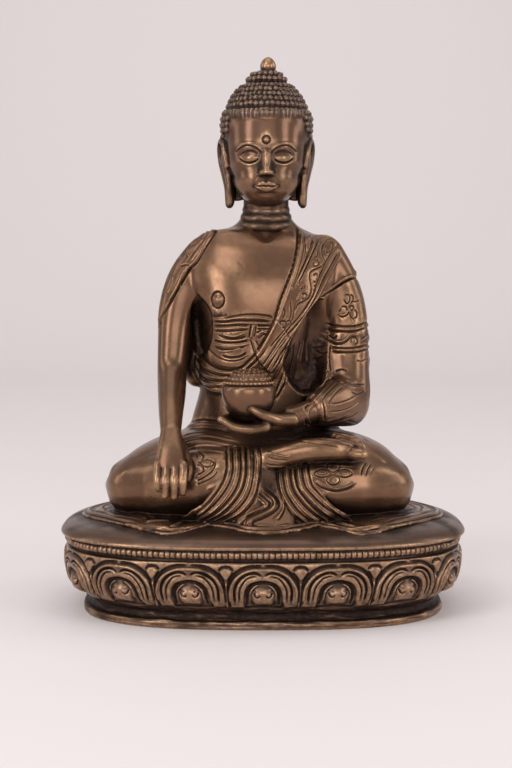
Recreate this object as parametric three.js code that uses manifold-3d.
// A bronze figure of a seated, meditating teacher on a lotus base, in millimetres, +Z up.
// The right hand hangs over the shin to touch the ground, and the left holds a covered alms bowl in the lap.
// The figure looks towards -Y, and the origin is the middle of the base's underside.
import * as THREE from "three";
import Module from "manifold-3d";
import { mergeVertices } from "three/addons/utils/BufferGeometryUtils.js";

const wasm = await Module();
wasm.setup();

// Driving dimensions of the base.
const baseHalfWidth = 80.5;
const baseHalfDepth = 56;
const baseCorner = 2.7; // 2 is an ellipse, and more is squarer
const seatTop = 40;
const bandTop = 26.5;
const bandBottom = 8;
const baseSegments = 44;
const petalPitches = 16;
const petalsMade = 9; // the rest of the band, at the back, is plain
const petalHalfWidth = 12.3;
const petalHeight = 15;

// Driving dimensions of the figure.
const seatGap = 0.4; // the figure is cast apart from the base
const finestDetail = 0.12; // edges that matter less than this are merged away
const clothThickness = 1.1;
const headX = 1.3; // the head stands a little to the figure's left
const headY = 6;
const hairline = 193.5;
const crown = 206;
const chin = 160.5;
const curlsRound = 16;
const curlHeight = 1;

const sideways = new THREE.Vector3(1, 0, 0);
const upwards = new THREE.Vector3(0, 0, 1);

// Solids and geometries, in and out of the boolean library.
function solidOf(geometry) {
  const bare = geometry.clone();
  bare.deleteAttribute("normal");
  bare.deleteAttribute("uv");
  const merged = mergeVertices(bare, 1e-4);
  const faces = [];
  for (let i = 0; i < merged.index.count; i += 3) {
    const [a, b, c] = [0, 1, 2].map((k) => merged.index.getX(i + k));
    if (a !== b && b !== c && c !== a) faces.push(a, b, c);
  }
  const mesh = new wasm.Mesh({
    numProp: 3,
    vertProperties: new Float32Array(merged.attributes.position.array),
    triVerts: new Uint32Array(faces),
  });
  return new wasm.Manifold(mesh);
}

function geometryOf(solid) {
  const mesh = solid.getMesh();
  const geometry = new THREE.BufferGeometry();
  geometry.setAttribute("position", new THREE.BufferAttribute(new Float32Array(mesh.vertProperties), 3));
  geometry.setIndex(new THREE.BufferAttribute(new Uint32Array(mesh.triVerts), 1));
  geometry.computeVertexNormals();
  return geometry;
}

// The solid inside a closed skin, whichever way its faces wind.
function outward(geometry) {
  const solid = solidOf(geometry);
  if (solid.volume() > 0) return solid;
  geometry.index.array.reverse();
  return solidOf(geometry);
}

// A profile of [radius, height] turned about an upright axis.
function turned(profile, segments, at, lean = 0, deep = 1) {
  const skin = new THREE.LatheGeometry(profile.map(([r, z]) => new THREE.Vector2(r, z)), segments);
  skin.rotateX(Math.PI / 2).scale(1, deep, 1).rotateX(lean).translate(...at);
  return outward(skin);
}

const join = (solids) => solids.reduce((whole, piece) => whole.add(piece));

// A number raised to a power with its sign kept, for squarish ovals.
const signedPower = (value, power) => Math.sign(value) * Math.abs(value) ** power;

// A value read between rows of [place, value].
function readOff(rows, place) {
  const last = rows.length - 1;
  if (place <= rows[0][0]) return rows[0][1];
  if (place >= rows[last][0]) return rows[last][1];
  const k = rows.findIndex((row) => row[0] >= place);
  const share = (place - rows[k - 1][0]) / (rows[k][0] - rows[k - 1][0]);
  return THREE.MathUtils.lerp(rows[k - 1][1], rows[k][1], share);
}

// A round-ended bar along stations of [x, y, z, half width, half depth]. The width lies along `side`.
function limb(stations, options = {}) {
  const { around = 12, fine = 1, caps = 1, side = sideways, square = 2, grow = 0 } = options;
  const along = (stations.length - 1) * fine;
  const path = new THREE.CatmullRomCurve3(stations.map((s) => new THREE.Vector3(s[0], s[1], s[2])));
  const sizes = new THREE.CatmullRomCurve3(stations.map((s) => new THREE.Vector3(s[3], s[4] ?? s[3], 0)));
  const rows = along + 2 * caps;
  const skin = new THREE.SphereGeometry(1, around, rows);
  const spot = skin.attributes.position;
  for (let row = 0; row <= rows; row++) {
    const fromStart = Math.min(row / caps, 1);
    const fromEnd = Math.min((rows - row) / caps, 1);
    const share = THREE.MathUtils.clamp((row - caps) / along, 0, 1);
    const middle = path.getPoint(share);
    const tangent = path.getTangent(share);
    const size = sizes.getPoint(share);
    const across = side.clone().addScaledVector(tangent, -side.dot(tangent)).normalize();
    const third = tangent.clone().cross(across);
    const [wide, deep] = [size.x + grow, size.y + grow];
    const blunt = Math.min(wide, deep);
    const nearer = Math.min(fromStart, fromEnd) * (Math.PI / 2);
    const push = blunt * Math.cos(nearer) * (fromStart < fromEnd ? -1 : 1);
    middle.addScaledVector(tangent, nearer < Math.PI / 2 ? push : 0);
    for (let column = 0; column <= around; column++) {
      const turn = (column / around) * 2 * Math.PI;
      const outX = -signedPower(Math.cos(turn), 2 / square) * wide * Math.sin(nearer);
      const outY = signedPower(Math.sin(turn), 2 / square) * deep * Math.sin(nearer);
      const at = middle.clone().addScaledVector(across, outX).addScaledVector(third, outY);
      spot.setXYZ(row * (around + 1) + column, at.x, at.y, at.z);
    }
  }
  return solidOf(skin);
}

// A pleated sheet of cloth between two edges, each a run of [x, y, z]. Every second line of it stands out by
// `rise` along `out`, and its back lies `thick` behind.
function pleats(leftEdge, rightEdge, options) {
  const { folds, rows, rise = 1.1, thick = 4, out = new THREE.Vector3(0, -1, 0.25) } = options;
  const [left, right] = [leftEdge, rightEdge].map(
    (edge) => new THREE.CatmullRomCurve3(edge.map((at) => new THREE.Vector3(...at))),
  );
  const skin = new THREE.BoxGeometry(1, 1, 1, 2 * folds, rows, 1);
  const spot = skin.attributes.position;
  for (let i = 0; i < spot.count; i++) {
    const across = spot.getX(i) + 0.5;
    const down = 0.5 - spot.getY(i);
    const at = left.getPoint(down).lerp(right.getPoint(down), across);
    const raised = Math.round(across * 2 * folds) % 2 ? rise : 0;
    at.addScaledVector(out, spot.getZ(i) > 0 ? raised : -thick);
    spot.setXYZ(i, at.x, at.y, at.z);
  }
  return outward(skin);
}

function ellipsoid(at, radii, around = 12, rows = 8) {
  const skin = new THREE.SphereGeometry(1, around, rows);
  skin.rotateX(Math.PI / 2).scale(...radii).translate(...at);
  return solidOf(skin);
}

// A front view outline of [x, z] points, cut through the figure from front to back.
function frontPrism(points, near = -60, far = 60) {
  const outline = new THREE.Shape(points.map(([x, z]) => new THREE.Vector2(x, z)));
  const bar = new THREE.ExtrudeGeometry(outline, { depth: far - near, bevelEnabled: false, steps: 1 });
  bar.rotateX(Math.PI / 2).translate(0, far, 0);
  return solidOf(bar);
}

// A plan outline of [x, y] points, smoothed and cut straight up from `low` to `high`.
function planPrism(points, low, high, steps) {
  const round = new THREE.SplineCurve(points.map(([x, y]) => new THREE.Vector2(x, y)));
  const outline = new THREE.Shape(round.getPoints(steps));
  const bar = new THREE.ExtrudeGeometry(outline, { depth: high - low, bevelEnabled: false, steps: 1 });
  bar.translate(0, 0, low);
  return solidOf(bar);
}

// The oval that the base follows in plan, with its start at the back.
class BaseOval extends THREE.Curve {
  getPoint(t, target = new THREE.Vector3()) {
    const turn = t * 2 * Math.PI + Math.PI / 2;
    const across = Math.abs(Math.cos(turn) / baseHalfWidth) ** baseCorner;
    const away = Math.abs(Math.sin(turn) / baseHalfDepth) ** baseCorner;
    const reach = (across + away) ** (-1 / baseCorner);
    return target.set(reach * Math.cos(turn), reach * Math.sin(turn), 0);
  }
}
const baseOval = new BaseOval();
baseOval.arcLengthDivisions = 600;

// Profile of the base as [share of the oval, height]: foot, waist, petal band, bead moulding and domed seat.
const seatProfile = [
  [0.985, 33.9],
  [0.93, 35.8],
  [0.78, 37.7],
  [0, seatTop],
];
const baseProfile = [
  [0, 0],
  [0.885, 0],
  [0.89, 3.1],
  [0.865, 4.3],
  [0.86, 6.4],
  [0.915, bandBottom + 1],
  [0.965, 13.5],
  [0.985, 21],
  [0.978, bandTop],
  [0.955, 27.2],
  [0.982, 28.2],
  [0.982, 30.4],
  [1.005, 31.4],
  ...seatProfile,
];

function ovalLathe(profile, segments) {
  const skin = new THREE.LatheGeometry(profile.map(([share, z]) => new THREE.Vector2(share, z)), segments);
  const spot = skin.attributes.position;
  for (let i = 0; i < spot.count; i++) {
    const column = Math.floor(i / profile.length) % segments;
    const [share, z] = profile[i % profile.length];
    const edge = baseOval.getPointAt(column / segments);
    spot.setXYZ(i, edge.x * share, edge.y * share, z);
  }
  return outward(skin);
}

// One petal: nested arches that stand on the band's lower edge, each ring at its own rise from the band.
const petalRings = [
  { reach: 0, rise: 2.1 },
  { reach: 0.38, rise: 1.2 },
  { reach: 0.5, rise: 0.1 },
  { reach: 1, rise: 1.1 },
];
const petalBack = -2.5;
const bandShare = baseProfile.filter(([, z]) => z >= bandBottom && z <= bandTop).map(([share, z]) => [z, share]);

function petal(place, around = 10) {
  const rows = petalRings.length;
  const skin = new THREE.SphereGeometry(1, around, rows);
  const spot = skin.attributes.position;
  for (let row = 0; row <= rows; row++) {
    const ring = petalRings[row] ?? { reach: 0, rise: petalBack };
    for (let column = 0; column <= around; column++) {
      const turn = (column / around) * 2 * Math.PI;
      const across = -signedPower(Math.cos(turn), 0.8) * petalHalfWidth * ring.reach;
      const foot = Math.sin(turn) < 0 ? 0.12 : 1;
      const height = bandBottom + 3 + Math.sin(turn) * foot * petalHeight * ring.reach;
      const u = THREE.MathUtils.euclideanModulo(place + across / baseOval.getLength(), 1);
      const edge = baseOval.getPointAt(u);
      const tangent = baseOval.getTangentAt(u);
      const outward = tangent.clone().cross(upwards);
      const share = readOff(bandShare, height);
      const at = edge.clone().multiplyScalar(share).addScaledVector(outward, ring.rise);
      spot.setXYZ(row * (around + 1) + column, at.x, at.y, height);
    }
  }
  return outward(skin);
}

function lotusBase() {
  const body = ovalLathe(baseProfile, baseSegments);
  const petals = [];
  for (let k = 0; k < petalsMade; k++) {
    petals.push(petal(0.5 + (k - (petalsMade - 1) / 2) / petalPitches));
  }
  return join([body, ...petals]);
}

// The trunk, from the seat to the root of the neck.
const trunkStations = [
  [0, 9, 60, 32, 20],
  [0, 8, 74, 29, 19],
  [0, 6, 88, 25.3, 17],
  [0, 5, 102, 25.2, 17.5],
  [0, 4.5, 116, 26.6, 18.8],
  [0, 4.5, 128, 30, 18.6],
  [0.3, 5.5, 138, 31, 16],
  [0.8, 7, 146, 27.4, 12.6],
  [1.2, 7.5, 151.8, 18.6, 10.8],
  [1.2, 7, 156.2, 11.4, 10],
];
const rightArmStations = [
  [-23, 6.5, 141, 8, 8.4],
  [-28.6, 6.5, 132, 9, 9.2],
  [-32.8, 6, 123, 8.4, 8.8],
  [-35, 5, 113, 7.5, 8],
  [-35.9, 3, 103, 6.8, 7.2],
  [-36.5, 0, 94, 6.2, 6.5],
  [-36.2, -9, 86, 5.6, 5.8],
  [-36, -19, 79, 4.8, 4.8],
  [-35.6, -28, 72.5, 4, 3.5],
];
const leftArmStations = [
  [24, 6.5, 141, 8.4, 8.6],
  [28.6, 6.5, 131.5, 9, 9.2],
  [32.4, 6, 122, 8.9, 9],
  [34.2, 6, 111, 8.8, 9],
  [34.5, 5, 100, 8.8, 9],
  [34.8, 1.5, 85, 8.6, 9.6],
];
const leftForearmStations = [
  [34.8, 0, 82.5, 8.4, 10.8],
  [30, -8, 82, 8, 9.6],
  [24, -16, 81, 6.8, 7.6],
  [18.5, -22, 80, 4.6, 4.8],
  [10, -28, 77.5, 4.4, 4.8],
];
const lapStations = [
  [-51.5, -9, 48.8, 15, 11.5],
  [-43, -7, 51.8, 19.5, 14.4],
  [-30, -2, 54, 26, 16.5],
  [-14, 0, 55, 31, 17],
  [14, 0, 55, 31, 17],
  [29, -2, 54, 26, 16.5],
  [41, -7, 52.2, 19.5, 15],
  [49, -9, 48.8, 15, 11.5],
];

const trunk = (grow = 0) => limb(trunkStations, { around: 16, grow });
const rightArm = (grow = 0) => limb(rightArmStations, { around: 10, grow });
const leftArm = (grow = 0) => limb(leftArmStations, { around: 9, grow });

// Crossed legs under the robe: thighs and lap in one, with a shin lying along the front of each.
function legs() {
  const shin = { around: 10, side: upwards, square: 2.2 };
  return join([
    limb(lapStations, { around: 14, caps: 3, side: new THREE.Vector3(0, 1, 0), square: 2.3 }),
    ellipsoid([0, 7, 66], [33, 22, 15], 12, 6),
    limb([[-44, -14, 50, 11.6], [-33, -21.5, 51.6, 12.4], [-17, -25.5, 53.4, 12.8], [-2, -25.5, 54, 12]], shin),
    limb([[42, -14, 49.5, 11.4], [32, -22, 50.6, 11.4], [19, -27, 50.8, 10.8], [4, -26, 50.2, 10]], shin),
  ]);
}

// The right foot lies on the left thigh with its toes outwards.
function restingFoot() {
  const sole = limb(
    [[-4, -30, 62, 4.4], [5, -33, 63.4, 4.6], [15, -33, 66, 4.6], [26, -30.5, 66, 4.4], [34, -27, 65, 3.8]],
    { around: 8, side: upwards },
  );
  const toes = [0, 1, 2, 3].map((k) => ellipsoid([38 - 0.6 * k, -29 + 2.2 * k, 64 + 0.7 * k], [3, 1.7, 2.1], 6, 3));
  return join([sole, ...toes]);
}

// Right hand over the shin, with its back to the front.
function rightHand() {
  const palm = limb([[-35.6, -28, 72.5, 4, 3.4], [-35.2, -34, 66, 5.4, 3], [-35, -38.4, 59.5, 6.3, 2.5]], { around: 8 });
  const fingers = [
    { knuckle: -40, tip: -39.6, low: 50.5 },
    { knuckle: -36.8, tip: -37, low: 48.2 },
    { knuckle: -33.5, tip: -33.6, low: 47.8 },
    { knuckle: -30.4, tip: -30.4, low: 49.2 },
  ].map(({ knuckle, tip, low }) => limb(
    [[knuckle, -38.6, 60, 1.7], [(knuckle + tip) / 2, -41, 55, 1.6], [tip, -40.4, low + 1.4, 1.4]],
    { around: 5 },
  ));
  const thumb = limb([[-31.5, -30, 68, 2.2], [-29, -35, 62, 1.9], [-28.6, -37.6, 57, 1.6]], { around: 6 });
  return join([palm, ...fingers, thumb]);
}

// Left hand, palm up under the bowl, with its fingers towards the figure's right.
function leftHand() {
  const along = new THREE.Vector3(0, 1, 0);
  const palm = limb([[13, -24, 78, 4.4, 4.4], [5, -30, 76, 7, 3.2], [-4, -32, 75.6, 7.6, 2.6]], { around: 8, side: along });
  const fingers = [-38.2, -34.6, -31, -27.4].map((y, k) => limb(
    [[0, y, 75.4, 1.9], [-9, y, 75, 1.8], [-16.4 + 0.8 * k, y + 0.6, 78, 1.5]],
    { around: 5, side: upwards },
  ));
  const thumb = limb([[9, -33, 77.5, 2.3], [3.5, -38, 79, 2], [-2.5, -39.5, 81.5, 1.6]], { around: 6, side: upwards });
  return join([palm, ...fingers, thumb]);
}

// Covered alms bowl: a round pot with a domed heap on its rim, as [radius, height].
const bowlX = -5.5;
const bowlY = -30.5;
function almsBowl() {
  const profile = [[0, 77], [6.5, 79], [9.6, 83.5], [10.4, 89.4], [9, 91], [8.2, 91.2], [7.2, 94], [3.6, 96.4], [0, 97]];
  return turned(profile, 14, [bowlX, bowlY, 0]);
}

// The robe: one layer below the collar line, and a second, folded one over the left shoulder. It covers the back.
const collarLine = [
  [11.5, 157], [13.8, 149], [13.4, 139], [10.4, 129], [6.6, 119], [2.6, 109], [-3, 100],
  [-9, 94.5], [-16, 92], [-22, 93.5], [-27.5, 98],
];
const shoulderFoldLine = [[0, 96], [8, 104.5], [15, 114.5], [22, 124.5], [30, 128.5], [39, 132.5], [50, 134]];
const rightFlapLine = [[-19, 156], [-24, 145], [-29.5, 136], [-34.5, 127], [-39.5, 119], [-44, 113.5]];
const backStart = 7;

function robe() {
  const back = (low) => frontPrism([[-60, low], [60, low], [60, 153], [-60, 153]], backStart, 60);
  const lower = trunk(clothThickness).intersect(join([
    frontPrism([...collarLine, [-45, 99], [-45, 40], [45, 40], [45, 159], [12, 159]].reverse(), -60, backStart),
    back(40),
  ]));
  const fold = join([trunk(2 * clothThickness), leftArm(clothThickness)]).intersect(
    frontPrism([...collarLine.slice(0, 8), ...shoulderFoldLine, [50, 161], [11.5, 161]].reverse()),
  );
  const flap = join([trunk(clothThickness), rightArm(0.8 * clothThickness)]).intersect(join([
    frontPrism([...rightFlapLine, [-60, 113], [-60, 162], [-19, 162]].reverse(), -60, backStart),
    back(100),
  ]));
  // Cloth fills the space between the trunk and each arm.
  const webs = [
    limb([[-25, 9, 133, 6], [-26, 10, 118, 6], [-26, 10, 104, 6], [-27, 9, 92, 5]], { around: 6 }),
    pleats(
      [[14, -10, 118], [15, -13, 102], [17, -17, 84]],
      [[28, 3, 128], [28, 0, 110], [28, -6, 90]],
      { folds: 3, rows: 2, thick: 12, out: new THREE.Vector3(-0.2, -1, 0) },
    ),
  ];
  return join([lower, fold, flap, ...webs]);
}

// Folds that fall over the shins in the middle, from the top of each shin to the seat.
function middleFolds() {
  return join([
    pleats(
      [[-15, -27.5, 66.9], [-15.5, -35.4, 62.2], [-16, -38.9, 53.5], [-19, -38.4, 45.5], [-25, -44, 38.6]],
      [[-1, -27.5, 66.9], [-0.5, -34.9, 62.2], [-0.5, -38.4, 53.5], [-3, -38.4, 45.5], [-11, -45, 38.2]],
      { folds: 4, rows: 5, rise: 1.3 },
    ),
    pleats(
      [[6, -30.5, 61.2], [5.5, -35.2, 57], [6.5, -37.6, 49.5], [11, -38.6, 42.5], [16, -44.5, 37.8]],
      [[19, -32.4, 61.8], [15.5, -36.8, 56.5], [15, -38.4, 49.5], [19, -39.6, 42.5], [28, -43, 37.8]],
      { folds: 4, rows: 4, rise: 1.2 },
    ),
  ]);
}

// The robe's skirt, spread on the seat with a waved hem, as [x, y] in plan.
const hemLine = [
  [-64, 16], [-73, 4], [-72, -10], [-64, -24], [-55, -35], [-46, -44], [-37, -49.5], [-29, -47.5], [-22, -42.5],
  [-14, -45], [-6, -50], [4, -51], [13, -48], [20, -44], [27, -45], [36, -49.5], [45, -45.5], [55, -36],
  [64, -25], [72, -11], [73, 3], [64, 16], [48, 34], [18, 43], [-18, 43], [-48, 34], [-64, 16],
];
function skirt() {
  const seat = [[0, 25], [0.98, 25], [0.96, 36.4], ...seatProfile.slice(1).map(([share, z]) => [share, z + 1.5])];
  return ovalLathe(seat, 24).intersect(planPrism(hemLine, 30, 50, 34));
}

// Neck with its rings, tipped so that they dip at the front.
function neck() {
  const profile = [
    [0, -9], [13.6, -8], [13.2, -5.8], [11.4, -4.2], [11.9, -2.4], [10.4, -1], [10.8, 0.8], [9.7, 2.6], [9.8, 6], [0, 6],
  ];
  return turned(profile, 14, [headX, headY - 0.5, 158.5], 0.2, 0.94);
}

// Face: a calm, even one, with its thirds from hairline to brow, to nose and to chin.
function face() {
  const third = (hairline - chin) / 3;
  const brow = hairline - third;
  const noseBase = chin + third;
  const eyes = brow - 0.3 * third;
  const mouth = noseBase - third / 3;
  const front = -13;
  const mask = limb([
    [headX, -2.6, chin + 5, 9.4, 9.6], [headX, -1, chin + 10, 12.8, 12.6], [headX, 1.4, chin + 16.5, 14.8, 15],
    [headX, 2.6, eyes, 15.6, 15.8], [headX, 3.6, brow + 3, 16, 16.4], [headX, 4.5, hairline, 15.6, 16],
  ], { around: 15, caps: 2 });
  const nose = limb([
    [headX, front + 0.4, brow - 1, 1.3, 1.2], [headX, front - 1.2, eyes - 4, 1.5, 1.6],
    [headX, front - 1.8, noseBase + 1.6, 2.2, 2],
  ], { around: 5 });
  const features = [
    nose,
    ellipsoid([headX, front + 1, mouth + 0.8], [4.2, 1.9, 0.9], 6, 4),
    ellipsoid([headX, front + 1.2, mouth - 0.9], [3.5, 1.9, 1], 6, 4),
    ellipsoid([headX, front + 2.4, chin + 3.4], [4, 2.4, 2.6], 6, 4),
    ellipsoid([headX, front + 0.6, brow + 2.4], [1.3, 0.8, 1.3], 6, 3),
  ];
  for (const way of [-1, 1]) {
    features.push(ellipsoid([headX + way * 6.6, front + 2.2, eyes], [3.8, 2.2, 1.6], 6, 4));
    features.push(limb([
      [headX + way * 2.4, front + 0.9, brow, 0.7], [headX + way * 7, front + 2, brow + 1.6, 0.8],
      [headX + way * 11.8, front + 5, brow - 0.6, 0.7],
    ], { around: 4, side: upwards }));
  }
  return join([mask, ...features]);
}

// Ear with its long lobe.
function ear(way) {
  return limb([
    [headX + way * 16.6, 5, 186.5, 2.6, 1.9], [headX + way * 17.8, 5.5, 181, 4.4, 2.1], [headX + way * 16.6, 5, 173.5, 3.4, 2.1],
    [headX + way * 14.6, 4, 167, 2.6, 2], [headX + way * 14.2, 3.5, 161.5, 2.8, 1.9],
  ], { around: 6, side: new THREE.Vector3(0, 1, 0) });
}

// A cap of hair in rows of curls. Every curl is one raised spot of the skin, and the curls of a row stand
// between those of the next. The rows are [share of the way down, value], and `drop` is how much lower the
// back of a row is than its front. `nape` is the share by which the last row is drawn in at the back.
function curledCap({ curls, curlRows, at, radius, height, drop, nape = 0 }) {
  const columns = 2 * curls;
  const rows = 2 * curlRows;
  const skin = new THREE.SphereGeometry(1, columns, rows + 2);
  const spot = skin.attributes.position;
  for (let row = 0; row <= rows + 2; row++) {
    const share = Math.min(row / rows, 1);
    const inside = row > rows ? 0.5 * (rows + 2 - row) : 1;
    const shift = row % 4 === 1 ? 0 : 1;
    for (let column = 0; column <= columns; column++) {
      const turn = (column / columns) * 2 * Math.PI;
      const raised = row % 2 && row < rows && (column + shift) % 2 ? curlHeight : 0;
      const reach = (readOff(radius, share) + raised) * inside;
      const back = reach > 0 ? THREE.MathUtils.smoothstep(Math.sin(turn), -0.85, 0.9) : 0;
      const tucked = 1 - nape * back * back * share * share;
      spot.setXYZ(
        row * (columns + 1) + column,
        at[0] + reach * tucked * Math.cos(turn),
        at[1] + reach * tucked * Math.sin(turn),
        readOff(height, share) - readOff(drop, share) * back + (row > rows ? 2 : 0),
      );
    }
  }
  return outward(skin);
}

function hair() {
  const cap = curledCap({
    curls: curlsRound,
    curlRows: 4,
    at: [headX, headY + 0.4],
    radius: [[0, 0], [0.125, 7], [0.25, 11.5], [0.375, 14.2], [0.5, 16], [0.75, 17.6], [1, 17.8]],
    height: [[0, crown + 0.6], [0.25, crown - 0.8], [0.5, crown - 4.4], [0.75, crown - 8.2], [1, hairline]],
    drop: [[0, 0], [0.25, 2], [0.5, 8], [0.75, 16], [1, 25]],
    nape: 0.3,
  });
  const knot = curledCap({
    curls: 7,
    curlRows: 3,
    at: [headX + 0.5, headY + 1],
    radius: [[0, 0], [0.12, 3], [0.45, 6.4], [0.8, 8.6], [1, 9.4]],
    height: [[0, 215.6], [0.12, 215.2], [0.45, 212], [0.8, 208], [1, 204.6]],
    drop: [[0, 0], [1, 0]],
  });
  const finial = [[0, 213], [3, 214], [3, 216], [2.6, 218], [1.4, 219.5], [0, 220]];
  return join([cap, knot, turned(finial, 8, [headX + 0.8, headY + 1, 0])]);
}

function seatedFigure() {
  const whole = join([
    trunk(),
    rightArm(),
    leftArm(),
    limb(leftForearmStations, { around: 10 }),
    legs(),
    restingFoot(),
    rightHand(),
    leftHand(),
    almsBowl(),
    robe(),
    middleFolds(),
    skirt(),
    neck(),
    face(),
    ear(-1),
    ear(1),
    hair(),
  ]);
  const seat = seatProfile.slice(1).map(([share, z]) => [share, z + seatGap]);
  return whole.subtract(ovalLathe([[0, -20], [1.3, -20], [1.3, 25], [0.98, 25], [0.98, 34.3], ...seat], 24));
}

const bronze = new THREE.MeshStandardMaterial({ color: 0x7a5f48, roughness: 0.42, metalness: 0.9 });
const base = lotusBase();
const figure = seatedFigure().simplify(finestDetail);
const group = new THREE.Group();
for (const [name, solid] of [["lotus_base", base], ["seated_figure", figure]]) {
  const mesh = new THREE.Mesh(geometryOf(solid), bronze.clone());
  mesh.name = name;
  group.add(mesh);
}

export default group;
